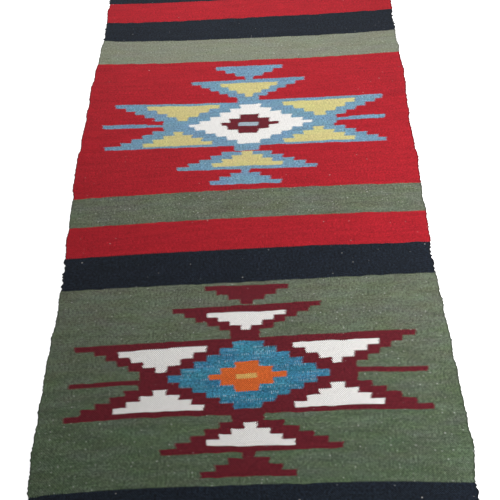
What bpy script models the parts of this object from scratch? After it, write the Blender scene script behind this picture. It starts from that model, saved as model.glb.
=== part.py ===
"""Flat-woven kilim rug, lying flat: one wool cloth with a turned hem at each end.

The cloth lies on the plane z = 0, its length along Y and its width along X, with the
origin under the middle of its bounding box.  A place on it is given as across, from 0 at
the left selvedge to 1 at the right one, and along, in metres from the lower end.
"""

from collections import namedtuple
from math import cos, pi, sin, tau

import bmesh
import bpy

# Driving sizes, in metres
LENGTH = 2.23
NOMINAL_WIDTH = 1.20
CLOTH_THICKNESS = 0.003
HEM_THICKNESS = 0.005
HEM_DEPTH = 0.026
HEM_SHOULDER = 0.008

# The wefts lean: they climb this much for each metre from left to right
WEFT_LEAN = 0.026

# Each end bows by this much about its straight line, in one and a half waves
END_WAVER = 0.002

# Where the selvedges lie, in metres from the centre line.  The cloth was drawn in
# unevenly as it was woven, so it is widest a little above its middle.
Station = namedtuple("Station", "along left right")
SELVEDGES = (
    Station(along=0.00, left=0.600, right=0.604),
    Station(along=0.11, left=0.597, right=0.609),
    Station(along=0.21, left=0.605, right=0.620),
    Station(along=0.31, left=0.606, right=0.613),
    Station(along=0.51, left=0.606, right=0.609),
    Station(along=0.66, left=0.599, right=0.603),
    Station(along=0.81, left=0.599, right=0.595),
    Station(along=0.91, left=0.608, right=0.601),
    Station(along=1.06, left=0.611, right=0.601),
    Station(along=1.21, left=0.620, right=0.606),
    Station(along=1.36, left=0.614, right=0.601),
    Station(along=1.51, left=0.612, right=0.605),
    Station(along=1.61, left=0.613, right=0.612),
    Station(along=1.71, left=0.606, right=0.608),
    Station(along=1.81, left=0.599, right=0.606),
    Station(along=1.93, left=0.592, right=0.605),
    Station(along=2.06, left=0.596, right=0.610),
    Station(along=2.23, left=0.592, right=0.600),
)

# Slack selvedges stand off the floor in a few low ripples
RIPPLE_HEIGHT = 0.003
RIPPLE_LENGTH = 0.58
RIPPLE_REACH = 0.085
RIPPLE_START_LEFT = 0.05
RIPPLE_START_RIGHT = 0.22

# The cloth narrows to a rounded edge over this distance
SELVEDGE_ROUNDING = 0.0015

# Where the mesh has its lines: across in metres from a selvedge, along in equal steps
EDGE_COLUMNS = (0.0, 0.0015, 0.015, 0.04, 0.065, 0.085)
MIDDLE_COLUMNS = 4
MIDDLE_ROWS = 76

# Wool as it looks from a few steps away
WOOL_COLOUR = (0.42, 0.03, 0.045, 1.0)
WOOL_ROUGHNESS = 0.95


def ease(t):
    """A smooth step from 0 to 1, level at both ends."""
    t = min(max(t, 0.0), 1.0)
    return t * t * (3.0 - 2.0 * t)


def selvedges_at(along):
    """The left and right selvedges' distances from the centre line."""
    for low, high in zip(SELVEDGES, SELVEDGES[1:]):
        if along <= high.along:
            share = ease((along - low.along) / (high.along - low.along))
            left = low.left + (high.left - low.left) * share
            right = low.right + (high.right - low.right) * share
            return left, right
    return SELVEDGES[-1].left, SELVEDGES[-1].right


def plan(across, along):
    """Where a place on the cloth lies on the floor, as x and y."""
    left, right = selvedges_at(along)
    x = -left + (left + right) * across
    bow = END_WAVER * cos(3.0 * pi * x / NOMINAL_WIDTH) * (2.0 * along / LENGTH - 1.0)
    return x, along - LENGTH / 2.0 + WEFT_LEAN * x + bow


def lift(across, along):
    """How high the underside stands off the floor: nought except in the ripples."""
    left, right = selvedges_at(along)
    from_left = (left + right) * across
    from_right = (left + right) * (1.0 - across)
    if from_left < from_right:
        reach, start = 1.0 - from_left / RIPPLE_REACH, RIPPLE_START_LEFT
    else:
        reach, start = 1.0 - from_right / RIPPLE_REACH, RIPPLE_START_RIGHT
    wave = max(0.0, sin(tau * (along - start) / RIPPLE_LENGTH))
    return RIPPLE_HEIGHT * ease(reach) * wave * wave


def thickness(across, along):
    """The cloth's thickness: doubled at the hems and rounded off at the selvedges."""
    from_end = min(along, LENGTH - along)
    hem = ease((HEM_DEPTH - from_end) / HEM_SHOULDER)
    full = CLOTH_THICKNESS + (HEM_THICKNESS - CLOTH_THICKNESS) * hem
    left, right = selvedges_at(along)
    from_edge = (left + right) * min(across, 1.0 - across)
    rounding = ease(0.5 + 0.5 * from_edge / SELVEDGE_ROUNDING)
    return full * rounding


def column_places():
    """The mesh's lines across the cloth, closer together near the selvedges."""
    near = [distance / NOMINAL_WIDTH for distance in EDGE_COLUMNS]
    span = 1.0 - 2.0 * near[-1]
    middle = [near[-1] + span * step / MIDDLE_COLUMNS for step in range(1, MIDDLE_COLUMNS)]
    return near + middle + [1.0 - place for place in reversed(near)]


def row_places():
    """The mesh's lines along the cloth, with two more at each hem's shoulder."""
    shoulder = HEM_DEPTH - HEM_SHOULDER
    span = LENGTH - 2.0 * HEM_DEPTH
    middle = [HEM_DEPTH + span * step / MIDDLE_ROWS for step in range(MIDDLE_ROWS + 1)]
    return [0.0, shoulder] + middle + [LENGTH - shoulder, LENGTH]


def wool():
    """The cloth's material."""
    material = bpy.data.materials.new("wool")
    material.use_nodes = True
    shader = material.node_tree.nodes["Principled BSDF"]
    shader.inputs["Base Color"].default_value = WOOL_COLOUR
    shader.inputs["Roughness"].default_value = WOOL_ROUGHNESS
    shader.inputs["Metallic"].default_value = 0.0
    material.diffuse_color = WOOL_COLOUR
    return material


def rug():
    """The whole cloth: a grid laid out as its underside, thickened upwards."""
    columns = column_places()
    rows = row_places()
    cloth = bmesh.new()
    bmesh.ops.create_grid(
        cloth,
        x_segments=len(columns) - 1,
        y_segments=len(rows) - 1,
        size=1.0,
    )
    height = cloth.verts.layers.float.new("height")
    for vertex in cloth.verts:
        column = round((vertex.co.x + 1.0) / 2.0 * (len(columns) - 1))
        row = round((vertex.co.y + 1.0) / 2.0 * (len(rows) - 1))
        across, along = columns[column], rows[row]
        x, y = plan(across, along)
        vertex.co = (x, y, lift(across, along))
        vertex[height] = thickness(across, along)
    upper = bmesh.ops.extrude_face_region(cloth, geom=cloth.faces[:], use_keep_orig=True)
    for item in upper["geom"]:
        if isinstance(item, bmesh.types.BMVert):
            item.co.z += item[height]
    bmesh.ops.recalc_face_normals(cloth, faces=cloth.faces)
    mesh = bpy.data.meshes.new("rug")
    cloth.to_mesh(mesh)
    cloth.free()
    mesh.materials.append(wool())
    piece = bpy.data.objects.new("rug", mesh)
    bpy.context.scene.collection.objects.link(piece)
    return piece


for leftover in list(bpy.data.objects):
    bpy.data.objects.remove(leftover, do_unlink=True)

rug()
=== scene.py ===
"""Flat-woven kilim rug with stepped medallions, lying flat under soft light.

Everything is in metres.  A place on the cloth is given as across, from 0 at the left
selvedge to 1 at the right one, and along, counted from the lower end.  The woven design
is charted in its own pair of measures, kept in the UV map named chart: how far a point
lies from the centre line, and how far up it lies once the wander of the wefts is taken
out.  On that chart each figure is a stack of level courses.
"""

from collections import namedtuple
from math import pi

import bmesh
import bpy
import numpy as np
from bpy.props import FloatProperty, FloatVectorProperty, PointerProperty
from bpy.types import Operator, Panel, PropertyGroup
from mathutils import Matrix, Vector


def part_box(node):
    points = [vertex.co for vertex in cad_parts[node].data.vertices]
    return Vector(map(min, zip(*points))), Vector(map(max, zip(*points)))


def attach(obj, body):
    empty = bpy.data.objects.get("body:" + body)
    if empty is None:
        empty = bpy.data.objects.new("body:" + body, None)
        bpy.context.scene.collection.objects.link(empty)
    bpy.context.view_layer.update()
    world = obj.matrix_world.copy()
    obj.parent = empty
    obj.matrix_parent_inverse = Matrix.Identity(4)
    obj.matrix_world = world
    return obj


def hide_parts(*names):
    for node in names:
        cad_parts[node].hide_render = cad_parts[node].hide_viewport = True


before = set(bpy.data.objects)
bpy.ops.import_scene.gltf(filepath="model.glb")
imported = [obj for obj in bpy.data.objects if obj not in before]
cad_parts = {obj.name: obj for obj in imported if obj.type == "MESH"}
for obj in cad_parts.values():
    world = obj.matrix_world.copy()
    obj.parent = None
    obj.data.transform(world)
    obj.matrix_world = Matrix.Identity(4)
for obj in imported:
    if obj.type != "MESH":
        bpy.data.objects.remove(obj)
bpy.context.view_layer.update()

bl_info = {
    "name": "Kilim Rug",
    "version": (1, 0, 0),
    "blender": (4, 5, 0),
    "location": "3D View > Sidebar > Kilim",
    "description": "Weaves a flat kilim rug with stepped medallions, and lights it",
    "category": "Object",
}

# The solid that the cloth stands for, and the floor just under it
RUG_NODE = "rug"
FLOOR_GAP = 0.0004
FLOOR_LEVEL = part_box(RUG_NODE)[0][2] - FLOOR_GAP


def rows_of(kind, *rows):
    """A table: rows of values, in columns named by their kind."""
    return [kind(*row) for row in rows]


# Where the selvedges lie, in metres from the centre line
Station = namedtuple("Station", "along left right")
SELVEDGES = rows_of(
    Station,
    (0.00, 0.600, 0.604),
    (0.11, 0.597, 0.609),
    (0.21, 0.605, 0.620),
    (0.31, 0.606, 0.613),
    (0.51, 0.606, 0.609),
    (0.66, 0.599, 0.603),
    (0.81, 0.599, 0.595),
    (0.91, 0.608, 0.601),
    (1.06, 0.611, 0.601),
    (1.21, 0.620, 0.606),
    (1.36, 0.614, 0.601),
    (1.51, 0.612, 0.605),
    (1.61, 0.613, 0.612),
    (1.71, 0.606, 0.608),
    (1.81, 0.599, 0.606),
    (1.93, 0.592, 0.605),
    (2.06, 0.596, 0.610),
    (2.23, 0.592, 0.600),
)

# How far each weft stands above its level line at the left selvedge, the middle and the
# right selvedge, in metres
Weft = namedtuple("Weft", "along left middle right")
WEFT_WANDER = rows_of(
    Weft,
    (0.00, -0.0030, 0.0040, -0.0057),
    (0.12, -0.0050, 0.0066, -0.0120),
    (0.31, -0.0080, 0.0030, -0.0080),
    (0.43, -0.0101, -0.0001, -0.0021),
    (0.74, -0.0103, -0.0033, 0.0007),
    (0.86, -0.0046, 0.0068, 0.0012),
    (0.98, -0.0080, 0.0055, 0.0000),
    (1.10, -0.0056, 0.0054, -0.0006),
    (1.31, -0.0038, -0.0038, -0.0048),
    (1.41, 0.0021, -0.0049, -0.0049),
    (1.53, 0.0010, -0.0110, -0.0060),
    (1.75, 0.0026, -0.0168, -0.0090),
    (1.88, 0.0050, -0.0200, -0.0115),
    (1.99, -0.0036, -0.0128, -0.0020),
    (2.12, -0.0065, -0.0175, -0.0065),
    (2.23, -0.0036, -0.0056, -0.0036),
)

# The plain bands from the lower end up, and the height on the chart where each one stops
Band = namedtuple("Band", "wool top")
BANDS = rows_of(
    Band,
    ("soot", 0.120),
    ("moss", 0.742),
    ("soot", 0.8555),
    ("poppy", 0.978),
    ("moss", 1.0955),
    ("poppy", 1.748),
    ("sage", 1.877),
    ("soot", 1.995),
    ("poppy", 2.118),
    ("soot", 2.300),
)

# A figure is a stack of courses.  The first one stands at base and is widest to either
# side of centre; each next one is rise further on, down where rise is negative, and
# narrower by taper on either side.  Its lines climb by lean for each metre across.
Steps = namedtuple("Steps", "centre base rise widest courses taper lean", defaults=(1, 0.0, 0.0))

# The figures, each a few rows of steps in millimetres, and each kind woven over the
# ones before it.  Heights are counted from the foot, a level line of the chart.
FIGURES_FOOT = 0.110
MOSS_FIGURES = {
    "frame": (
        (-4, 621, -16.8, 131, 4, 36.5, -20),
        (-4, 551, -16.6, 231, 5, 36.7, 12),
        (-8, 471, -32, 46),
        (-10, 440, -18, 517, 1, 0, 7),
        (1, 425, -18.8, 465, 5, 36, 3),
        (1, 335, -45, 321),
        (-424, 321, -14.5, 104),
        (421, 329, -15.5, 107, 1, 0, -26),
        (0, 222, 17, 483, 5, 40.5),
        (0, 204.5, 17.5, 528),
        (0, 170, 36, 46),
        (11, 98, 17.3, 254, 5, 40.4, 8),
        (2, 31, 16.9, 131, 5, 37.3),
    ),
    "infill": (
        (-5, 528, -15, 121, 4, 35.8, -10),
        (-257, 417, -18.9, 132, 4, 38.3, 26),
        (265, 418, -17.7, 129, 4, 38.3),
        (-257, 221.5, 16.6, 131, 4, 37.5),
        (263, 219, 17.2, 128, 4, 36.5),
        (8, 114.5, 16.4, 124, 4, 35, -24),
    ),
    "diamond": (
        (2, 331, -22, 238),
        (1, 330, 20, 200, 5, 38.5),
        (0, 310, -17.8, 201, 5, 40),
    ),
    "eye": (
        (0, 329, -17, 115),
        (-3, 329, 18.5, 77, 2, 42),
        (-3, 312, -19, 77, 2, 41),
    ),
    "dash": ((-4, 327, -14, 29),),
}
POPPY_FIGURES = {
    "frame": (
        (8, 1605, -19.4, 130, 4, 37.7),
        (3, 1528, -18, 219, 5, 36, 14),
        (3, 1440, -45, 40),
        (-264, 1412, -20, 240, 1, 0, -22),
        (256, 1417, -21, 256),
        (10, 1398.5, -18.5, 473, 5, 38),
        (10, 1313, -32, 322),
        (-461, 1313, -18, 81, 1, 0, -10),
        (-345, 1306, -11, 40, 1, 0, -20),
        (446, 1311, -18, 66, 1, 0, 6),
        (357, 1306, -13, 40),
        (5, 1204, 17, 471, 5, 38.5, -12),
        (-9, 1190, 17, 514, 1, 0, -12),
        (-2, 1166, 30, 46),
        (-2, 1077.5, 16.8, 249, 5, 39.8, -22),
        (-7, 1009, 17.2, 127, 5, 37.3, -18),
    ),
    "infill": (
        (7, 1510, -18.6, 110, 4, 31.5),
        (-243, 1401, -20, 137, 4, 39, -16),
        (273, 1403, -20.3, 135, 4, 38, 10),
        (-256, 1202, 16.8, 127, 4, 37),
        (263, 1197, 17.7, 130, 4, 37),
        (0, 1092.5, 17.6, 126, 4, 35.5, -14),
    ),
    "diamond": (
        (13, 1301, -12, 229),
        (13, 1294, 20.3, 191, 5, 38.3),
        (6, 1289, -17.7, 199, 5, 39.3),
    ),
    "eye": (
        (10, 1302, -15, 108),
        (8, 1302, 20, 74, 2, 38),
        (3, 1288, -19.5, 78, 2, 40),
    ),
    "dash": ((4, 1302, -18, 36),),
}

# How much wider each course is at its upper side than at its lower one, where a fresh
# weft first goes round its outermost warps
MOSS_SPLAY = 0.003
POPPY_SPLAY = 0.005

# Which wool each kind of figure is woven in, on the moss ground and on the poppy ground
KINDS = ("frame", "infill", "diamond", "eye", "dash")
MOSS_WOOLS = dict(zip(KINDS, ("wine", "chalk", "teal", "orange", "amber")))
POPPY_WOOLS = dict(zip(KINDS, ("steel", "straw", "chalk", "wine", "ice")))

# How each wool looks.  It has a colour and that of its second lot.  Heather is how far
# that lot and other tints show, streak how much its wefts differ from each other,
# speckle how strong its grain is, and lint how many pale specks it has caught.
Wool = namedtuple("Wool", "name colour second heather streak speckle lint")
WOOLS = rows_of(
    Wool,
    ("poppy", (0.340, 0.0086, 0.0165), (0.215, 0.0068, 0.0135), 0.40, 0.56, 0.40, 0.03),
    ("soot", (0.0065, 0.0100, 0.0165), (0.011, 0.017, 0.027), 0.30, 0.50, 1.00, 0.05),
    ("moss", (0.121, 0.132, 0.096), (0.064, 0.101, 0.056), 0.80, 0.60, 0.60, 0.45),
    ("sage", (0.185, 0.195, 0.145), (0.130, 0.160, 0.115), 0.50, 0.40, 0.36, 0.60),
    ("wine", (0.115, 0.0100, 0.0168), (0.085, 0.006, 0.011), 0.30, 0.26, 0.50, 0.04),
    ("chalk", (0.690, 0.675, 0.655), (0.62, 0.61, 0.60), 0.02, 0.06, 0.12, 0.00),
    ("teal", (0.055, 0.220, 0.320), (0.024, 0.140, 0.240), 1.00, 0.85, 0.64, 0.20),
    ("orange", (0.56, 0.112, 0.022), (0.46, 0.078, 0.016), 0.30, 0.20, 0.25, 0.03),
    ("amber", (0.56, 0.34, 0.105), (0.50, 0.28, 0.08), 0.35, 0.16, 0.25, 0.00),
    ("steel", (0.142, 0.258, 0.360), (0.105, 0.215, 0.300), 0.60, 0.40, 0.56, 0.10),
    ("straw", (0.51, 0.45, 0.19), (0.44, 0.42, 0.20), 0.45, 0.20, 0.30, 0.05),
    ("ice", (0.30, 0.37, 0.43), (0.26, 0.35, 0.40), 0.30, 0.15, 0.25, 0.00),
)
WOOL_NAMES = [wool.name for wool in WOOLS]

# Millimetres on the chart
MM = 0.001

# One wave of a sum: its length, its height and its starting turn
Wave = namedtuple("Wave", "length height turn")

# The selvedges.  The scallops drift along by these shares of their pitch, and ride on
# slow waves.  Both have their turns multiplied by the selvedge's own number.  A fine
# tremble is the same on both.
SCALLOP_DRIFT = (Wave(0.090, 0.35, 0.1), Wave(0.041, 0.2, 0.3))
SELVEDGE_WAVES = (Wave(0.071, 0.0010, 0.4), Wave(0.113, 0.0014, 0.7))
SELVEDGE_TREMBLE = Wave(0.0105, 0.0006, 0.2)
LEFT_NUMBER, RIGHT_NUMBER = 3, 8

# The lowest and highest scallop as shares of the depth, their mean, the share of the
# depth that shows away from the soot bands, how far the slow waves fade on those
# bands, and the distance over which one changes to the other
SCALLOP_RANGE = (0.35, 1.0)
SCALLOP_MEAN = 0.34
PLAIN_DEPTH = 0.38
SOOT_FADE = 0.4
SOOT_EASE = 0.02

# Where the first ripple of each selvedge starts
RIPPLE_START_LEFT = 0.05
RIPPLE_START_RIGHT = 0.22

# The unevenness of the upper side: along the cloth, across it, and on two slants, each
# slant moving sideways by this much for each metre along
RIDGES = (Wave(0.037, 0.00005, 0.2), Wave(0.061, 0.00010, 0.4), Wave(0.217, 0.00020, 0.8))
HOLLOWS = (Wave(0.19, 0.00022, 0.1), Wave(0.083, 0.00010, 0.7))
HOLLOW_LENGTH = 0.137
SLANTS = ((0.7, Wave(0.31, 0.00020, 0.3)), (-0.5, Wave(0.23, 0.00016, 0.9)))

# The cloth's mesh lines.  Going in from an edge, each stretch is given by how far in it
# ends and by its number of steps.  The rest is shared out evenly.
EDGE_STRETCHES = ((0.0015, 3), (0.0075, 5), (0.030, 3), (0.085, 4))
END_STRETCHES = ((0.0024, 4),)
MIDDLE_COLUMNS = 28
MIDDLE_ROWS = 668

# Cells of chance, as how many there are across and along for each metre.  Streaks and
# light wool keep to their wefts, and count along by single wefts.
TOOTH_CELLS = (18.0, 170.0)
WAVER_CELLS = (16.0, 11.0)
STREAK_CELLS = (8.0, 0.43)
PALE_CELLS = (8.0, 0.91)
CLOUD_CELLS = (9.0, 30.0)
FUZZ_CELLS = (150.0, 270.0)

# The chance at which light wool and clouds begin, and at which they are full
PALE_EDGE = (0.60, 0.72)
CLOUD_EDGE = (0.36, 0.64)

# The weaver's hand: the length of a tooth and the waver of level edges, in metres, how
# far those edges keep to whole beads, and how much of a tooth is even and how much is
# chance
TOOTH = 0.0046
WAVER = 0.007
KEEP = 0.65
EVEN_TOOTH = 0.8
ODD_TOOTH = 2.8

# The colour of a wool.  The second lot comes in towards the lower end, from the first
# height on the chart down to the other one, so that most wools are darker there, and
# in clouds.  The shares say how much each counts.
LOWER_END_LOT_SPAN = (0.80, 0.15)
LOWER_END_LOT_SHARE = 0.7
PATCH_SHARE = 0.5
TINT_SHARE = 0.26

# Light wool was spun into the wools whose streak is past this start.  The gain is how
# fast it comes in, and the chance of each bead says how much of it that bead shows.
SPUN_START = 0.60
SPUN_GAIN = 1.6
SPUN_BEADS = (0.15, 0.60)

# The grain, for a speckle of one, and the painted shade in the gaps at the ends of beads,
# with the bead middles painted lighter to keep the mean, which shows most in even wools.
# The Ends value of the weave is a third on the mean.
BEAD_SHARE = 0.55
FUZZ_SHARE = 3.0
EVEN_GAP_SHADE = 1.20
HEATHER_GAP_SHADE = 0.30
MEAN_ENDS = 1.0 / 3.0

# How rough the gaps are, how much less the beads are, and how high the fuzz stands
# beside a bead
GAP_ROUGHNESS = 0.98
BEAD_SHINE = 0.12
FUZZ_RELIEF = 0.4

# Painted shade along the selvedges: how wide the darkened rim is, and the tone at its edge
SHADED_RIM_WIDTH = 0.0070
SHADED_RIM_TONE = 0.28

# The flecks: how far apart and how large they are, their share for a lint of one, how
# strongly they show, and whether they stand upright
Fleck = namedtuple("Fleck", "wool cell size share strength upright")
FLECKS = rows_of(
    Fleck,
    ("chalk", 0.017, 0.0019, 0.6, 0.42, False),
    ("soot", 0.024, 0.0028, 0.20, 0.5, True),
)

# How flat a fleck is, the share of its size that the smallest has at least, and how
# strong the faintest is
FLECK_FLATNESS = 1.5
LEAST_FLECK = 0.4
FAINTEST_FLECK = 0.1

# The hem stitches: how far apart they are, how far in from the corners the first one is,
# how far each reaches to either side across and along, how high it arches, and how deep
# its ends go in
STITCH_PITCH = 0.017
STITCH_MARGIN = 0.015
STITCH_REACH = 0.0042
STITCH_SLANT = 0.0016
STITCH_ARCH = 0.0006
STITCH_SINK = 0.0004

# How a stitch varies in length, how far it slips from its place, and the number that
# its chance starts from
STITCH_LENGTHS = (0.8, 1.15)
SLIP_ACROSS = 0.0012
SLIP_ALONG = 0.0006
STITCH_NUMBER = 12

# The thread: its radius, what is left of it at its ends, and its rings and sides
THREAD_RADIUS = 0.00045
THREAD_TIP = 0.00002
STITCH_RINGS = 9
STITCH_SIDES = 6

# The floor reaches this far to every side, and is mottled by this share of a tone
FLOOR_HALF = 14.0
MOTTLE_SHARE = 0.02
MOTTLE_TONE = (0.8, 0.8, 0.8)

# The two soft lights are squares of one size, each aimed at a place on the rug
LIGHT_SIZE = 1.3
KEY_PLACE, KEY_TARGET = (1.75, -0.55, 1.35), (0.1, 0.1, 0.0)
BACK_PLACE, BACK_TARGET = (-0.15, 1.25, 1.2), (-0.2, 0.3, 0.0)

# Where a Mix node keeps its pair of numbers and its pair of colours
MIX_NUMBERS = 2
MIX_COLOURS = 6

# Where the two sides of the cloth lie, side by side, on the sheet of the map named OFBake
BAKE_SPAN = (0.485, 0.98)
BAKE_UPPER = (0.01, 0.01)
BAKE_UNDER = (0.505, 0.01)

# The viewer's eye and the turn of the view, in metres and radians
EYE = Vector((0.0677, -1.2810, 1.7624))
LOOK_DOWN = 1.04395
LOOK_LEFT = 0.05872
HEAD_ROLL = 0.07241
LENS_MM = 44.64
SENSOR_MM = 36.0


def colour_of(thing, default):
    """A colour that the user may change."""
    return FloatVectorProperty(
        name=thing.capitalize(),
        description=f"Colour of the {thing}",
        subtype="COLOR",
        size=3,
        min=0.0,
        max=1.0,
        default=default,
    )


def amount_of(label, description, default, unit="NONE"):
    """A number that the user may change."""
    return FloatProperty(name=label, description=description, default=default, min=0.0, unit=unit)


def length_of(label, description, default):
    """A size in metres."""
    return amount_of(label, description, default, unit="LENGTH")


def power_of(label, description, default):
    """A light's power in watts."""
    return amount_of(label, description, default, unit="POWER")


class KilimSizes(PropertyGroup):
    """The cloth's sizes."""

    length: length_of("Length", "Length of the cloth between its ends", 2.23)
    width: length_of("Width", "Nominal width between the selvedges", 1.20)
    thickness: length_of("Thickness", "Thickness of the single cloth", 0.003)
    hem_thickness: length_of("Hem thickness", "Thickness where the end is turned under", 0.005)
    hem_depth: length_of("Hem depth", "How far in the turned end reaches", 0.026)
    hem_shoulder: length_of("Hem shoulder", "How far the hem takes to thin out", 0.008)
    weft_lean: amount_of("Weft lean", "How far the wefts climb for each metre to the right", 0.026)
    end_waver: length_of("End waver", "How far each end bows about its line", 0.002)
    ripple_height: length_of("Ripple height", "How high the slack selvedges stand off the floor", 0.003)
    ripple_length: length_of("Ripple length", "Distance from one ripple to the next", 0.58)
    ripple_reach: length_of("Ripple reach", "How far in from a selvedge the ripples go", 0.085)
    scallop_pitch: length_of("Scallop pitch", "Distance between scallops on a selvedge", 0.0180)
    scallop_depth: length_of("Scallop depth", "How far a scallop stands out", 0.0085)
    cord_width: length_of("Selvedge cord", "Width of the thicker cord along a selvedge", 0.006)
    cord_height: length_of("Cord height", "How far the selvedge cord stands above the cloth", 0.0005)
    warp_pitch: length_of("Warp pitch", "Distance between warps", 0.00315)
    weft_pitch: length_of("Weft pitch", "Distance between wefts that pass over one warp", 0.0061)


class KilimWools(PropertyGroup):
    """The wools' colours: each wool's own, and that of its second lot."""

    __annotations__ = {
        **{wool.name: colour_of(f"{wool.name} wool", wool.colour) for wool in WOOLS},
        **{f"{wool.name}_lot": colour_of(f"second lot of {wool.name}", wool.second) for wool in WOOLS},
    }


class KilimStage(PropertyGroup):
    """The floor and the light."""

    floor_colour: colour_of("floor", (0.86, 0.86, 0.86))
    key_power: power_of("Key light", "Power of the soft light on the right", 60.0)
    back_power: power_of("Back light", "Power of the soft light over the far end", 21.0)
    sky: amount_of("Sky", "Strength of the even light all round", 0.16)
    floor_glow: amount_of("Floor glow", "Light of the floor's own", 0.80)


def ease(t):
    """A smooth step from 0 to 1: three t squared less two t cubed, with t held to 0..1."""
    t = np.clip(t, 0.0, 1.0)
    return t * t * (3.0 - 2.0 * t)


def along_table(rows, column, along):
    """A column of a table of stations, eased from each station to the next."""
    stations = np.array([row.along for row in rows])
    values = np.array([getattr(row, column) for row in rows])
    low = np.clip(np.searchsorted(stations, along, side="right") - 1, 0, len(rows) - 2)
    share = ease((along - stations[low]) / (stations[low + 1] - stations[low]))
    return values[low] + (values[low + 1] - values[low]) * share


def waves(place, *terms):
    """A sum of sines of place, each term a wave."""
    return sum(term.height * np.sin(2.0 * pi * (place / term.length + term.turn)) for term in terms)


def turned(table, number):
    """A table's waves with their turns multiplied by a number."""
    return [wave._replace(turn=wave.turn * number) for wave in table]


def soot_share(along):
    """1 along the soot bands, easing to 0 elsewhere."""
    share = np.zeros_like(along)
    foot = 0.0
    for band in BANDS:
        if band.wool == "soot":
            begun = ease((along - foot) / SOOT_EASE + 0.5)
            inside = begun * ease((band.top - along) / SOOT_EASE + 0.5)
            share = np.maximum(share, inside)
        foot = band.top
    return share


def scallops(sizes, along, number):
    """How far the selvedge stands out, about its own mean.

    It is a row of bumps, each the square of a sine times a height of its own.  They are
    deep on the soot bands and slighter elsewhere, where slow waves show more.
    """
    chance = np.random.default_rng(number)
    place = along / sizes.scallop_pitch + waves(along, *turned(SCALLOP_DRIFT, number))
    heights = chance.uniform(*SCALLOP_RANGE, int(sizes.length / sizes.scallop_pitch) + 8)
    bump = heights[np.floor(place).astype(int) + 2] * np.sin(pi * place) ** 2
    soot = soot_share(along)
    depth = sizes.scallop_depth * (PLAIN_DEPTH + (1.0 - PLAIN_DEPTH) * soot)
    slow = waves(along, SELVEDGE_TREMBLE, *turned(SELVEDGE_WAVES, number))
    return depth * (bump - SCALLOP_MEAN) + slow * (1.0 - SOOT_FADE * soot)


def plan(sizes, across, along):
    """Where a place on the cloth lies on the floor.

    x runs from the left selvedge to the right one.  y is along less half the length,
    plus the lean of the wefts times x, plus the bow of the ends: a cosine of one and a
    half waves across, fading to nothing at mid length.
    """
    left = along_table(SELVEDGES, "left", along) + scallops(sizes, along, LEFT_NUMBER)
    right = along_table(SELVEDGES, "right", along) + scallops(sizes, along, RIGHT_NUMBER)
    x = -left + (left + right) * across
    bow = sizes.end_waver * np.cos(3.0 * pi * x / sizes.width) * (2.0 * along / sizes.length - 1.0)
    return x, along - sizes.length / 2.0 + sizes.weft_lean * x + bow


def lift(sizes, across, along):
    """How high the underside stands off the floor.

    It is nought but in the ripples of the selvedges, which are the square of a sine
    where that is positive, fading inwards over the ripple's reach.
    """
    from_edge = sizes.width * np.minimum(across, 1.0 - across)
    start = np.where(across < 0.5, RIPPLE_START_LEFT, RIPPLE_START_RIGHT)
    wave = np.maximum(0.0, np.sin(2.0 * pi * (along - start) / sizes.ripple_length))
    return sizes.ripple_height * ease(1.0 - from_edge / sizes.ripple_reach) * wave**2


def rounded(distance, radius):
    """The share of full thickness at a distance from an edge: a quarter circle."""
    return np.sqrt(1.0 - (1.0 - np.clip(distance / radius, 0.0, 1.0)) ** 2)


def chart_height(sizes, x, along):
    """How far up the chart a place lies: along less the wander of its weft.

    The wander is the parabola in x through its heights at the left selvedge, the
    middle and the right selvedge.
    """
    columns = ("left", "middle", "right")
    left, middle, right = (along_table(WEFT_WANDER, column, along) for column in columns)
    side = 2.0 * x / sizes.width
    return along - middle - side * (right - left) / 2.0 - side**2 * ((left + right) / 2.0 - middle)


def places(*stretches):
    """Mesh lines: each stretch is its end and how many steps lead to it from the last."""
    lines = [0.0]
    for end, count in stretches:
        lines += list(np.linspace(lines[-1], end, count + 1)[1:])
    return np.array(lines)


def mesh_lines(stretches, whole, steps):
    """Mesh lines from one edge to the other: the stretches at both, and even steps between."""
    edge = places(*stretches) / whole
    far = 1.0 - edge[-1]
    return np.concatenate([edge, np.linspace(edge[-1], far, steps + 1)[1:-1], 1.0 - edge[::-1]])


def cloth_grid(sizes):
    """The across and along values of the cloth's mesh lines, close together at its edges."""
    columns = mesh_lines(EDGE_STRETCHES, sizes.width, MIDDLE_COLUMNS)
    rows = mesh_lines(END_STRETCHES, sizes.length, MIDDLE_ROWS) * sizes.length
    return np.meshgrid(columns, rows)


def quads(ids):
    """The quads of a grid of vertex numbers, facing up."""
    corners = [ids[:-1, :-1], ids[:-1, 1:], ids[1:, 1:], ids[1:, :-1]]
    return np.stack(corners, axis=-1).reshape(-1, 4)


def new_mesh(name, points, faces, material):
    """A smooth mesh object at the origin from arrays of points and faces."""
    mesh = bpy.data.meshes.new(name)
    mesh.from_pydata(points.tolist(), [], faces.tolist())
    mesh.validate()
    mesh.update()
    mesh.shade_smooth()
    mesh.materials.append(material)
    piece = bpy.data.objects.new(name, mesh)
    bpy.context.scene.collection.objects.link(piece)
    return piece


def add_uv(mesh, name, corner_values):
    """A UV map from one pair of values for each face corner."""
    layer = mesh.uv_layers.new(name=name)
    layer.data.foreach_set("uv", corner_values.astype(np.float32).ravel())


def cloth_thickness(sizes, from_edge, from_end):
    """The cloth's full thickness: greater in the hems and in the cords of the selvedges.

    A cord's section is the arch of a sine over its width.
    """
    hem = ease((sizes.hem_depth - from_end) / sizes.hem_shoulder)
    cord = np.sin(pi * np.clip(from_edge / sizes.cord_width, 0.0, 1.0))
    plain = sizes.thickness + sizes.cord_height * cord
    return plain + (sizes.hem_thickness - plain) * hem


def relief(sizes, x, along):
    """The slight unevenness of the upper side: sums of sines along, across and aslant."""
    hollows = waves(x, *HOLLOWS) * np.cos(2.0 * pi * along / HOLLOW_LENGTH)
    slant = sum(waves(x + drift * along, wave) for drift, wave in SLANTS)
    return waves(along, *RIDGES) + hollows + slant


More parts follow.
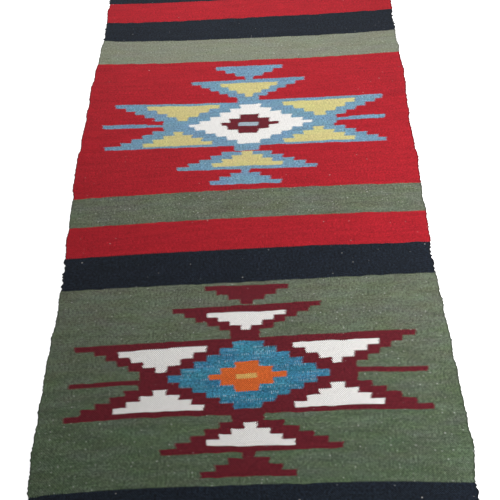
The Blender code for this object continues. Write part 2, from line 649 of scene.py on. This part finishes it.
def weave_cloth(sizes, material):
    """The cloth: an upper and an under sheet on one grid, sharing their rims.

    The under sheet lies at the lift, the upper one a thickness above it, and both curve
    in a quarter circle to meet at mid height.
    """
    across, along = cloth_grid(sizes)
    x, y = plan(sizes, across, along)
    from_end = np.minimum(along, sizes.length - along)
    from_edge = sizes.width * np.minimum(across, 1.0 - across)
    full = cloth_thickness(sizes, from_edge, from_end)
    share = rounded(from_edge, sizes.thickness / 2.0) * rounded(from_end, sizes.hem_thickness / 2.0)
    middle = lift(sizes, across, along) + full / 2.0
    upper = middle + (full / 2.0 + relief(sizes, x, along)) * share
    under = middle - full / 2.0 * share
    inside = share > 0.0
    upper_ids = np.arange(x.size).reshape(x.shape)
    under_ids = upper_ids.copy()
    under_ids[inside] = x.size + np.arange(inside.sum())
    upper_points = np.stack([x, y, upper], axis=-1).reshape(-1, 3)
    under_points = np.stack([x, y, under], axis=-1)[inside]
    grid_up = quads(upper_ids)
    grid_down = grid_up[:, ::-1]
    faces = np.concatenate([grid_up, quads(under_ids)[:, ::-1]])
    piece = new_mesh("rug_cloth", np.concatenate([upper_points, under_points]), faces, material)
    corners = np.concatenate([grid_up, grid_down])
    chart = np.stack([x, chart_height(sizes, x, along)], axis=-1).reshape(-1, 2)
    add_uv(piece.data, "chart", chart[corners])
    borders = np.stack([from_edge, from_end], axis=-1).reshape(-1, 2)
    add_uv(piece.data, "borders", borders[corners])
    sheet = np.stack([across, along / sizes.length], axis=-1).reshape(-1, 2) * BAKE_SPAN
    halves = [sheet[grid_up] + BAKE_UPPER, sheet[grid_down] + BAKE_UNDER]
    add_uv(piece.data, "OFBake", np.concatenate(halves))
    piece.data.uv_layers["chart"].active_render = True
    return piece


def tree_of(*values):
    """The node tree of the first socket among some values."""
    return next(value.id_data for value in values if isinstance(value, bpy.types.NodeSocket))


def feed(socket, value):
    """Links a socket to another one, or gives it a plain value."""
    if isinstance(value, bpy.types.NodeSocket):
        socket.id_data.links.new(value, socket)
    elif hasattr(value, "__len__") and len(value) == 3 and socket.type == "RGBA":
        socket.default_value = (*value, 1.0)
    else:
        socket.default_value = value


def give(sockets, **values):
    """Feeds sockets by their names, with an underscore for each space."""
    for name, value in values.items():
        feed(sockets[name.replace("_", " ")], value)


def add_node(tree, kind, **settings):
    """A node set beside the last one."""
    node = tree.nodes.new(kind)
    node.location = (180.0 * len(tree.nodes), 0.0)
    for name, value in settings.items():
        setattr(node, name, value)
    return node


def put(kind, *values, **settings):
    """A node with its first inputs fed: its outputs."""
    node = add_node(tree_of(*values), kind, **settings)
    for socket, value in zip(node.inputs, values):
        feed(socket, value)
    return node.outputs


def calc(operation, *values):
    """The result of a Math node."""
    return put("ShaderNodeMath", *values, operation=operation)[0]


def times(first, second):
    """A product."""
    return calc("MULTIPLY", first, second)


def minus(first, second):
    """A difference."""
    return calc("SUBTRACT", first, second)


def linear(value, factor, offset):
    """A value times a factor, plus an offset."""
    return calc("MULTIPLY_ADD", value, factor, offset)


def mix(first_input, factor, under, over, **settings):
    """A Mix node, which has a pair of inputs for each kind of value: its outputs."""
    node = add_node(tree_of(factor, under, over), "ShaderNodeMix", **settings)
    for number, value in ((0, factor), (first_input, under), (first_input + 1, over)):
        feed(node.inputs[number], value)
    return node.outputs


def blend(factor, under, over, kind="MIX"):
    """The result of mixing two colours."""
    return mix(MIX_COLOURS, factor, under, over, data_type="RGBA", blend_type=kind)[2]


def choose(mask, without, with_it):
    """One number where a mask is 0, and another where it is 1."""
    return mix(MIX_NUMBERS, mask, without, with_it, data_type="FLOAT")[0]


def centred(chance, contrast):
    """One, plus a contrast times how far a chance value is from its middle."""
    return linear(minus(chance, 0.5), contrast, 1.0)


def scale_colour(colour, tone):
    """A colour made lighter or darker."""
    node = add_node(tree_of(colour, tone), "ShaderNodeVectorMath", operation="SCALE")
    feed(node.inputs[0], colour)
    feed(node.inputs["Scale"], tone)
    return node.outputs[0]


def uv_parts(tree, name):
    """The two values of a UV map."""
    spot = add_node(tree, "ShaderNodeUVMap", uv_map=name)
    return put("ShaderNodeSeparateXYZ", spot.outputs[0])[:2]


def join(x, y, z=0.0):
    """A vector from its parts."""
    return put("ShaderNodeCombineXYZ", x, y, z)[0]


def in_cells(across, along, columns, rows, layer=0.0):
    """A place counted in cells, so many columns and rows of them for each unit."""
    return join(times(across, columns), times(along, rows), layer)


def noise(vector, detail=1.0, roughness=0.5, dimensions="2D"):
    """The value and the colour of a noise texture whose cells are one unit wide."""
    node = add_node(tree_of(vector), "ShaderNodeTexNoise", noise_dimensions=dimensions)
    give(node.inputs, Vector=vector, Scale=1.0, Detail=detail, Roughness=roughness)
    return node.outputs[0], node.outputs["Color"]


def spread(value, low, high):
    """A number eased so that low becomes 0 and high becomes 1, and held there."""
    node = add_node(tree_of(value), "ShaderNodeMapRange", interpolation_type="SMOOTHSTEP")
    give(node.inputs, Value=value, From_Min=low, From_Max=high)
    return node.outputs[0]


def new_group(name, inputs, outputs):
    """An empty shader group with named sockets: its tree, its inputs and its outputs."""
    tree = bpy.data.node_groups.new(name, "ShaderNodeTree")
    for label, kind in inputs.items():
        tree.interface.new_socket(name=label, in_out="INPUT", socket_type=kind)
    for label, kind in outputs.items():
        tree.interface.new_socket(name=label, in_out="OUTPUT", socket_type=kind)
    given = add_node(tree, "NodeGroupInput")
    result = add_node(tree, "NodeGroupOutput")
    return tree, given.outputs, result.inputs


def use_group(group, **values):
    """A placed group, with values for its inputs by name: its outputs."""
    node = add_node(tree_of(*values.values()), "ShaderNodeGroup", node_tree=group)
    give(node.inputs, **values)
    return node.outputs


def floats(*names):
    """Sockets for plain numbers."""
    return {name: "NodeSocketFloat" for name in names}


def steps_group():
    """A figure's mask: 1 where a place is inside a stack of ever narrower courses.

    Each course is wider by the splay at its upper side than at its lower one.
    """
    sizes = ("Centre", "Base", "Rise", "Courses", "Widest", "Taper", "Lean", "Splay")
    inputs = floats("Across", "Along", *sizes)
    tree, given, result = new_group("Stepped Figure", inputs, floats("Mask"))
    sideways = minus(given["Across"], given["Centre"])
    slope = times(sideways, given["Lean"])
    level = minus(minus(given["Along"], given["Base"]), slope)
    courses = calc("DIVIDE", level, given["Rise"])
    course = calc("FLOOR", courses)
    narrowing = times(course, given["Taper"])
    upright = times(calc("SIGN", given["Rise"]), given["Splay"])
    within = minus(minus(courses, course), 0.5)
    splayed = linear(within, upright, given["Widest"])
    half = minus(splayed, narrowing)
    beside = calc("LESS_THAN", calc("ABSOLUTE", sideways), half)
    started = calc("GREATER_THAN", course, -0.5)
    ended = calc("LESS_THAN", course, minus(given["Courses"], 0.5))
    in_stack = times(started, ended)
    feed(result["Mask"], times(beside, in_stack))
    return tree


def lattice_group():
    """Weft-faced plain weave.

    Each weft bulges over every second warp, and the next weft over the others.  Height
    is the bulge of a bead, the square root of two parabolas multiplied, and Ends is 1 at
    a bead's two ends and 0 at its middle.  Bead is chance, one value for each bead.
    Pick counts the wefts from the lower end, Bead Along is the middle of a bead, and
    Swing goes from -1 to 1 and back along each bead.
    """
    inputs = floats("Across", "Along", "Warp Pitch", "Weft Pitch")
    outputs = floats("Height", "Ends", "Bead", "Pick", "Bead Along", "Swing")
    tree, given, result = new_group("Weft Faced Weave", inputs, outputs)
    warps = calc("DIVIDE", given["Across"], given["Warp Pitch"])
    warp = calc("FLOOR", warps)
    odd = calc("FLOORED_MODULO", warp, 2.0)
    turn = times(odd, 0.5)
    wefts = calc("ADD", calc("DIVIDE", given["Along"], given["Weft Pitch"]), turn)
    weft = calc("FLOOR", wefts)
    slopes = []
    for place, cell in ((warps, warp), (wefts, weft)):
        offset = linear(minus(place, cell), 2.0, -1.0)
        slopes.append(times(offset, offset))
    bulges = [minus(1.0, slope) for slope in slopes]
    height = calc("SQRT", times(bulges[0], bulges[1]))
    chance = put("ShaderNodeTexWhiteNoise", join(warp, weft), noise_dimensions="2D")
    middle = minus(calc("ADD", weft, 0.5), turn)
    swing = linear(calc("PINGPONG", wefts, 0.5), 4.0, -1.0)
    pick = minus(times(weft, 2.0), odd)
    bead_along = times(middle, given["Weft Pitch"])
    give(result, Height=height, Ends=slopes[1], Pick=pick, Bead_Along=bead_along, Swing=swing)
    feed(result["Bead"], chance["Value"])
    return tree


def hand_group():
    """The weaver's hand: moves a place a little before its wool is looked up.

    Upright edges get teeth, one for each bead and of uneven length.  Level edges keep
    partly to the beads' own ends, and waver.
    """
    inputs = floats("Across", "Along", "Bead Along", "Swing", "Tooth", "Waver", "Keep")
    tree, given, result = new_group("Weaver's Hand", inputs, floats("Across", "Along"))
    across, bead = given["Across"], given["Bead Along"]
    teeth, _ = noise(in_cells(across, bead, *TOOTH_CELLS))
    reach = linear(given["Swing"], EVEN_TOOTH, linear(teeth, ODD_TOOTH, -ODD_TOOTH / 2.0))
    slow, _ = noise(in_cells(across, bead, *WAVER_CELLS), detail=2.0)
    kept = choose(given["Keep"], given["Along"], bead)
    wavered = linear(minus(slow, 0.5), given["Waver"], kept)
    give(result, Across=linear(reach, given["Tooth"], across), Along=wavered)
    return tree


def streak_group():
    """Uneven dye and spinning, for wools of more than one lot.

    Streak runs along single wefts, Patch is a soft cloud some ten centimetres wide, Tint
    colours that cloud, Fuzz is the fine grain of loosely spun wool, and Pale is 1 on the
    stretches of a few wefts that were spun with light wool.
    """
    outputs = floats("Streak", "Patch", "Fuzz", "Pale")
    outputs["Tint"] = "NodeSocketColor"
    tree, given, result = new_group("Dye Streaks", floats("Across", "Along", "Pick"), outputs)
    across, along, pick = given["Across"], given["Along"], given["Pick"]
    streak, _ = noise(in_cells(across, pick, *STREAK_CELLS), detail=3.0)
    light, _ = noise(in_cells(across, pick, *PALE_CELLS), detail=0.0)
    cloud = in_cells(across, along, *CLOUD_CELLS, layer=4.0)
    patch, tint = noise(cloud, detail=3.0, roughness=0.6, dimensions="3D")
    fuzz, _ = noise(in_cells(across, along, *FUZZ_CELLS), detail=2.0)
    pale, soft = spread(light, *PALE_EDGE), spread(patch, *CLOUD_EDGE)
    give(result, Streak=streak, Pale=pale, Patch=soft, Tint=tint, Fuzz=fuzz)
    return tree


def fleck_group():
    """Specks caught in the wool: the middles of a few cells of a random mosaic.

    They are longer across than along, and some are fainter than others.
    """
    inputs = floats("Across", "Along", "Cell", "Size", "Share")
    tree, given, result = new_group("Flecks", inputs, floats("Mask"))
    across = calc("DIVIDE", given["Across"], given["Cell"])
    along = times(calc("DIVIDE", given["Along"], given["Cell"]), FLECK_FLATNESS)
    cells = add_node(tree, "ShaderNodeTexVoronoi", voronoi_dimensions="2D")
    give(cells.inputs, Vector=join(across, along), Scale=1.0)
    picked, larger, stronger = put("ShaderNodeSeparateColor", cells.outputs["Color"])
    size = calc("DIVIDE", given["Size"], given["Cell"])
    size = times(size, calc("ADD", larger, LEAST_FLECK))
    near = calc("LESS_THAN", cells.outputs["Distance"], size)
    chosen = calc("LESS_THAN", picked, given["Share"])
    strength = linear(stronger, 1.0 - FAINTEST_FLECK, FAINTEST_FLECK)
    feed(result["Mask"], times(times(near, chosen), strength))
    return tree


def shelf(wool):
    """A wool's place on the rack, from 0 to 1."""
    return (WOOL_NAMES.index(wool) + 0.5) / len(WOOL_NAMES)


def in_metres(stack):
    """A stack's measures, by the names of its group's inputs."""
    measures = {name.title(): value * MM for name, value in stack._asdict().items()}
    measures["Courses"] = stack.courses
    measures["Base"] += FIGURES_FOOT
    return measures


def chart_group(steps):
    """The woven design: gives each place its wool, as a place on the rack."""
    tree, given, result = new_group("Kilim Chart", floats("Across", "Along"), floats("Wool"))
    across, along = given["Across"], given["Along"]
    wool = shelf(BANDS[0].wool)
    for below, band in zip(BANDS, BANDS[1:]):
        wool = choose(calc("GREATER_THAN", along, below.top), wool, shelf(band.wool))
    grounds = ((MOSS_FIGURES, MOSS_WOOLS, MOSS_SPLAY), (POPPY_FIGURES, POPPY_WOOLS, POPPY_SPLAY))
    for figures, colours, splay in grounds:
        for kind, stacks in figures.items():
            mask = 0.0
            for stack in rows_of(Steps, *stacks):
                own = use_group(steps, Across=across, Along=along, Splay=splay, **in_metres(stack))
                mask = calc("MAXIMUM", own["Mask"], mask)
            wool = choose(mask, wool, shelf(colours[kind]))
    feed(result["Wool"], wool)
    return tree


def rack_group(wools):
    """The rack of wools: turns a place on it into a wool's colours and its other looks."""
    outputs = {"Colour": "NodeSocketColor", "Second Lot": "NodeSocketColor"}
    outputs.update(floats("Heather", "Streak", "Speckle", "Lint"))
    tree, given, result = new_group("Wool Rack", floats("Wool"), outputs)
    first = [getattr(wools, wool.name) for wool in WOOLS]
    second = [getattr(wools, f"{wool.name}_lot") for wool in WOOLS]
    looks = [(wool.heather, wool.streak, wool.speckle) for wool in WOOLS]
    colour, lot = (stepped_ramp(given["Wool"], colours)[0] for colours in (first, second))
    give(result, Colour=colour, Second_Lot=lot)
    ramp = stepped_ramp(given["Wool"], looks, [wool.lint for wool in WOOLS])
    heather, streak, speckle = put("ShaderNodeSeparateColor", ramp[0])
    give(result, Heather=heather, Streak=streak, Speckle=speckle, Lint=ramp[1])
    return tree


def stepped_ramp(place, values, alphas=None):
    """A ramp of equal flat steps, one for each value: its colour and its alpha."""
    node = add_node(tree_of(place), "ShaderNodeValToRGB")
    feed(node.inputs[0], place)
    ramp = node.color_ramp
    ramp.interpolation = "CONSTANT"
    while len(ramp.elements) < len(values):
        ramp.elements.new(1.0)
    for step, (value, alpha) in enumerate(zip(values, alphas or [1.0] * len(values))):
        ramp.elements[step].position = step / len(values)
        ramp.elements[step].color = (*value, alpha)
    return node.outputs


def new_material(name):
    """A material with its node tree and its shader."""
    material = bpy.data.materials.new(name)
    material.use_nodes = True
    return material, material.node_tree, material.node_tree.nodes["Principled BSDF"]


def add_bump(shader, height, strength, distance):
    """Gives a shader a bump from a height."""
    bump = add_node(tree_of(height), "ShaderNodeBump")
    give(bump.inputs, Strength=strength, Distance=distance, Height=height)
    feed(shader.inputs["Normal"], bump.outputs[0])


def dyed_colour(wool, dye, along):
    """A wool's colour, mixed with its second lot, more of it towards the lower end, and with the tints
    of its clouds.
    """
    lower_end_lot = spread(along, *LOWER_END_LOT_SPAN)
    share = linear(lower_end_lot, LOWER_END_LOT_SHARE, times(dye["Patch"], PATCH_SHARE))
    lots = times(share, wool["Heather"])
    colour = blend(lots, wool["Colour"], wool["Second Lot"])
    return blend(times(wool["Heather"], TINT_SHARE), colour, dye["Tint"], kind="OVERLAY")


def with_flecks(colour, lint, place, wools):
    """A colour with pale flecks that lie across and dark ones that lie along."""
    group = fleck_group()
    across, along = place
    for fleck in FLECKS:
        one, other = (along, across) if fleck.upright else (across, along)
        share = times(lint, fleck.share)
        flecks = use_group(group, Across=one, Along=other, Cell=fleck.cell, Size=fleck.size, Share=share)
        strength = times(flecks["Mask"], fleck.strength)
        colour = blend(strength, colour, getattr(wools, fleck.wool))
    return colour


def kilim_wool(sizes, wools):
    """The cloth's material: the chart's wools, woven, streaked and specked, with painted shade in the
    gaps between beads and along the selvedges.
    """
    material, tree, shader = new_material("kilim_wool")
    across, along = uv_parts(tree, "chart")
    from_edge, _ = uv_parts(tree, "borders")
    place = {"Across": across, "Along": along}
    pitches = {"Warp_Pitch": sizes.warp_pitch, "Weft_Pitch": sizes.weft_pitch}
    weave = use_group(lattice_group(), **place, **pitches)
    bead = {"Bead_Along": weave["Bead Along"], "Swing": weave["Swing"]}
    hand = use_group(hand_group(), **place, **bead, Tooth=TOOTH, Waver=WAVER, Keep=KEEP)
    chart = use_group(chart_group(steps_group()), Across=hand["Across"], Along=hand["Along"])
    wool = use_group(rack_group(wools), Wool=chart["Wool"])
    dye = use_group(streak_group(), **place, Pick=weave["Pick"])
    dyed = dyed_colour(wool, dye, along)
    past = times(minus(wool["Streak"], SPUN_START), SPUN_GAIN)
    light_spun = calc("MAXIMUM", past, 0.0)
    dots = times(dye["Pale"], spread(weave["Bead"], *SPUN_BEADS))
    spun = blend(times(dots, light_spun), dyed, wools.ice)
    grain = centred(weave["Bead"], times(wool["Speckle"], BEAD_SHARE))
    streak = centred(dye["Streak"], wool["Streak"])
    fuzz = centred(dye["Fuzz"], times(wool["Speckle"], FUZZ_SHARE))
    # Painted shade in the gaps at the ends of beads, with the bead middles painted lighter
    depth = linear(wool["Heather"], HEATHER_GAP_SHADE - EVEN_GAP_SHADE, EVEN_GAP_SHADE)
    painted_gap_shade = linear(minus(MEAN_ENDS, weave["Ends"]), depth, 1.0)
    tone = times(times(grain, streak), times(fuzz, painted_gap_shade))
    # Painted shade: the cloth darkens over its last few millimetres towards each selvedge
    rim_shade = spread(from_edge, 0.0, SHADED_RIM_WIDTH)
    rim_shade_tone = linear(rim_shade, 1.0 - SHADED_RIM_TONE, SHADED_RIM_TONE)
    shaded = scale_colour(spun, times(tone, rim_shade_tone))
    specked = with_flecks(shaded, wool["Lint"], (across, along), wools)
    matt = linear(weave["Height"], -BEAD_SHINE, GAP_ROUGHNESS)
    give(shader.inputs, Base_Color=specked, Roughness=matt, Specular_IOR_Level=0.12)
    give(shader.inputs, Sheen_Weight=0.09, Sheen_Roughness=0.5)
    raised = linear(dye["Fuzz"], FUZZ_RELIEF, weave["Height"])
    add_bump(shader, raised, strength=0.8, distance=0.0008)
    return material


def sewing_thread(wools):
    """The hem thread's material: dark wool with a fine twist."""
    material, tree, shader = new_material("hem_thread")
    place = add_node(tree, "ShaderNodeTexCoord")
    twist = add_node(tree, "ShaderNodeTexWave", wave_type="BANDS", bands_direction="DIAGONAL")
    give(twist.inputs, Vector=place.outputs["Object"], Scale=260.0, Distortion=1.5)
    colour = blend(twist.outputs["Fac"], wools.soot, wools.soot_lot)
    give(shader.inputs, Base_Color=colour, Roughness=0.85)
    add_bump(shader, twist.outputs["Fac"], strength=1.0, distance=0.0002)
    return material


def hem_stitches(sizes, material):
    """Slanted hand stitches along both hems.

    Each is a tube round half an ellipse that leaves the cloth, arches over and goes back
    in.  Its radius shrinks almost to nothing at both ends.
    """
    inset = sizes.hem_depth - sizes.hem_shoulder
    count = int((sizes.width - 2.0 * STITCH_MARGIN) / STITCH_PITCH)
    chance = np.random.default_rng(STITCH_NUMBER)
    centres = np.linspace(STITCH_MARGIN, sizes.width - STITCH_MARGIN, count) / sizes.width
    middles, ends = np.meshgrid(centres, (inset, sizes.length - inset))
    middles = middles.ravel() + chance.normal(0.0, SLIP_ACROSS, middles.size) / sizes.width
    ends = ends.ravel() + chance.normal(0.0, SLIP_ALONG, ends.size)
    turn = np.linspace(0.0, pi, STITCH_RINGS)
    swing = -np.cos(turn)
    angle = np.linspace(0.0, 2.0 * pi, STITCH_SIDES, endpoint=False)
    x, y = plan(sizes, middles, ends)
    top = lift(sizes, middles, ends) + sizes.hem_thickness
    side = STITCH_REACH * chance.uniform(*STITCH_LENGTHS, middles.size)
    thick = (THREAD_RADIUS * np.sqrt(np.sin(turn).clip(0.0)) + THREAD_TIP)[None, :, None]
    rise = (STITCH_ARCH * np.sin(turn) - STITCH_SINK)[None, :, None]
    along_x = x[:, None, None] + (side[:, None] * swing)[:, :, None]
    along_y = y[:, None, None] + (STITCH_SLANT * swing)[None, :, None] + thick * np.cos(angle)
    along_z = top[:, None, None] + rise + thick * np.sin(angle)
    points = np.stack(np.broadcast_arrays(along_x, along_y, along_z), axis=-1).reshape(-1, 3)
    ring = np.arange(STITCH_SIDES)
    stitch = np.arange(middles.size)[:, None, None] * STITCH_RINGS * STITCH_SIDES
    base = stitch + (np.arange(STITCH_RINGS - 1) * STITCH_SIDES)[None, :, None]
    first = base + ring
    after = base + (ring + 1) % STITCH_SIDES
    walls = np.stack([first, first + STITCH_SIDES, after + STITCH_SIDES, after], axis=-1)
    piece = new_mesh("hem_stitches", points, walls.reshape(-1, 4), material)
    close_ends(piece)
    return piece


def close_ends(piece):
    """Fills the open rings of a mesh and turns all its faces outwards."""
    work = bmesh.new()
    work.from_mesh(piece.data)
    rims = [edge for edge in work.edges if edge.is_boundary]
    bmesh.ops.holes_fill(work, edges=rims, sides=0)
    bmesh.ops.recalc_face_normals(work, faces=work.faces)
    work.to_mesh(piece.data)
    work.free()


def soft_light(name, power, place, target):
    """A square area light aimed at a place."""
    light = bpy.data.lights.new(name, "AREA")
    light.energy = power
    light.size = LIGHT_SIZE
    lamp = bpy.data.objects.new(name, light)
    lamp.location = place
    lamp.rotation_euler = (Vector(target) - Vector(place)).to_track_quat("-Z", "Y").to_euler()
    lamp.visible_camera = False
    bpy.context.scene.collection.objects.link(lamp)


def view_matrix():
    """The camera's place and turn from its angles.

    It looks along +Y, tipped down and turned left, and is then rolled about its own line
    of sight.
    """
    flat = Vector((-np.sin(LOOK_LEFT), np.cos(LOOK_LEFT), 0.0))
    ahead = flat * np.cos(LOOK_DOWN) - Vector((0.0, 0.0, np.sin(LOOK_DOWN)))
    level = Vector((np.cos(LOOK_LEFT), np.sin(LOOK_LEFT), 0.0))
    below = ahead.cross(level)
    right = np.cos(HEAD_ROLL) * level + np.sin(HEAD_ROLL) * below
    down = -np.sin(HEAD_ROLL) * level + np.cos(HEAD_ROLL) * below
    turn = Matrix((right, -down, -ahead)).transposed().to_4x4()
    return Matrix.Translation(EYE) @ turn


def floor_paint(colour, glow):
    """The floor's material: matt pale paint with a faint mottle and a little light of its own."""
    material, tree, shader = new_material("floor_paint")
    place = add_node(tree, "ShaderNodeTexCoord")
    mottle, _ = noise(place.outputs["Object"], detail=3.0, dimensions="3D")
    mottled = blend(times(mottle, MOTTLE_SHARE), tuple(colour), MOTTLE_TONE)
    give(shader.inputs, Base_Color=mottled, Roughness=0.9, Specular_IOR_Level=0.1)
    give(shader.inputs, Emission_Color=(1.0, 1.0, 1.0), Emission_Strength=glow)
    return material


class KILIM_OT_cloth(Operator):
    """Weave the cloth, with its turned hems and its scalloped selvedges"""

    bl_idname = "kilim.cloth"
    bl_label = "Weave the cloth"

    def execute(self, context):
        sizes, wools = context.scene.kilim_sizes, context.scene.kilim_wools
        cloth = weave_cloth(sizes, kilim_wool(sizes, wools))
        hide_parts(RUG_NODE)
        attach(cloth, "root")
        return {"FINISHED"}


class KILIM_OT_stitches(Operator):
    """Sew both hems down by hand"""

    bl_idname = "kilim.stitches"
    bl_label = "Sew the hems"

    def execute(self, context):
        sizes, wools = context.scene.kilim_sizes, context.scene.kilim_wools
        stitches = hem_stitches(sizes, sewing_thread(wools))
        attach(stitches, "root")
        return {"FINISHED"}


class KILIM_OT_stage(Operator):
    """Lay the floor, hang the lights and set the camera"""

    bl_idname = "kilim.stage"
    bl_label = "Set the stage"

    def execute(self, context):
        scene, stage = context.scene, context.scene.kilim_stage
        corners = [(-1.0, -1.0, 0.0), (1.0, -1.0, 0.0), (1.0, 1.0, 0.0), (-1.0, 1.0, 0.0)]
        corners = FLOOR_HALF * np.array(corners) + (0.0, 0.0, FLOOR_LEVEL)
        paint = floor_paint(stage.floor_colour, stage.floor_glow)
        new_mesh("floor", corners, np.array([[0, 1, 2, 3]]), paint)
        soft_light("key", stage.key_power, KEY_PLACE, KEY_TARGET)
        soft_light("back", stage.back_power, BACK_PLACE, BACK_TARGET)
        world = bpy.data.worlds.new("room")
        world.use_nodes = True
        background = world.node_tree.nodes["Background"]
        give(background.inputs, Color=(1.0, 1.0, 1.0), Strength=stage.sky)
        scene.world = world
        scene.view_settings.view_transform = "Standard"
        camera = bpy.data.objects.new("camera", bpy.data.cameras.new("camera"))
        camera.data.lens = LENS_MM
        camera.data.sensor_width = SENSOR_MM
        camera.matrix_world = view_matrix()
        scene.collection.objects.link(camera)
        scene.camera = camera
        return {"FINISHED"}


class KILIM_PT_panel(Panel):
    """Everything that makes the rug"""

    bl_idname = "KILIM_PT_panel"
    bl_label = "Kilim rug"
    bl_space_type = "VIEW_3D"
    bl_region_type = "UI"
    bl_category = "Kilim"

    def draw(self, context):
        for owner, kind in OWNERS.items():
            box = self.layout.box()
            for name in kind.__annotations__:
                box.prop(getattr(context.scene, owner), name)
        for operator in OPERATORS:
            self.layout.operator(operator.bl_idname)


OWNERS = {"kilim_sizes": KilimSizes, "kilim_wools": KilimWools, "kilim_stage": KilimStage}
OPERATORS = (KILIM_OT_cloth, KILIM_OT_stitches, KILIM_OT_stage)
CLASSES = (*OWNERS.values(), *OPERATORS, KILIM_PT_panel)


def register():
    for kind in CLASSES:
        bpy.utils.register_class(kind)
    for name, kind in OWNERS.items():
        setattr(bpy.types.Scene, name, PointerProperty(type=kind))


def unregister():
    for name in OWNERS:
        delattr(bpy.types.Scene, name)
    for kind in reversed(CLASSES):
        bpy.utils.unregister_class(kind)


def main():
    """Makes every piece in order."""
    register()
    bpy.ops.kilim.cloth()
    bpy.ops.kilim.stitches()
    bpy.ops.kilim.stage()


if __name__ == "__main__":
    main()
